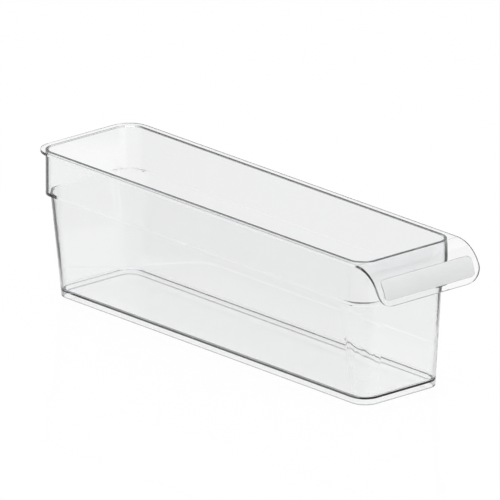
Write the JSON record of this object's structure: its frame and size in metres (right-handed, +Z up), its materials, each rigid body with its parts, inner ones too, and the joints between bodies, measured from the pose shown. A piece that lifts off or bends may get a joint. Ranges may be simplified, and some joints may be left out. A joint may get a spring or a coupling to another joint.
{
  "type": "pull-out storage bin",
  "caption": "Long clear open-top bin that tapers to a foot ring, with an outward rim, corner stacking ledges and a curved front pull lip that carries a frosted label strip.",
  "frame": {"origin": "on the ground, at the middle of the overall length and width", "axes": "+Z up, +Y from the pull lip towards the back, +X across the width"},
  "size_m": [0.1, 0.3892, 0.114],
  "materials": {
    "clear_plastic": "clear, polished moulding",
    "frosted_white": "fine frosted white"
  },
  "bodies": {
    "root": {"bin_body": "clear_plastic", "label_panel": "frosted_white"}
  },
  "joints": []
}
